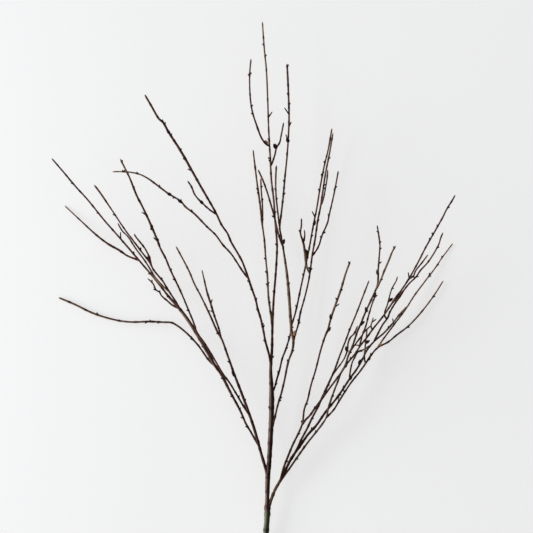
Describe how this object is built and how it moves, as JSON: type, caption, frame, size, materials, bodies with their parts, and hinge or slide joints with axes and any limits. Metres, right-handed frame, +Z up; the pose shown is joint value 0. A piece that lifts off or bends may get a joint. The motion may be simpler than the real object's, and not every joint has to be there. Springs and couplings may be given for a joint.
{
  "type": "twig",
  "caption": "Bare cut twig for a vase or display: a straight stem that forks into fanned sprays of thin, budded shoots, lying flat.",
  "frame": {"origin": "bottom centre of the whole twig's bounding box, on the surface that it lies on", "axes": "+Z up from the surface, +Y along the twig from the cut end of its stem to its leading tip, +X to the right as seen from above with the tip away from the viewer"},
  "size_m": [0.606, 0.8574, 0.1113],
  "materials": {
    "bark": "matt dark red-brown bark"
  },
  "bodies": {
    "root": {"twig": "bark"}
  },
  "joints": []
}
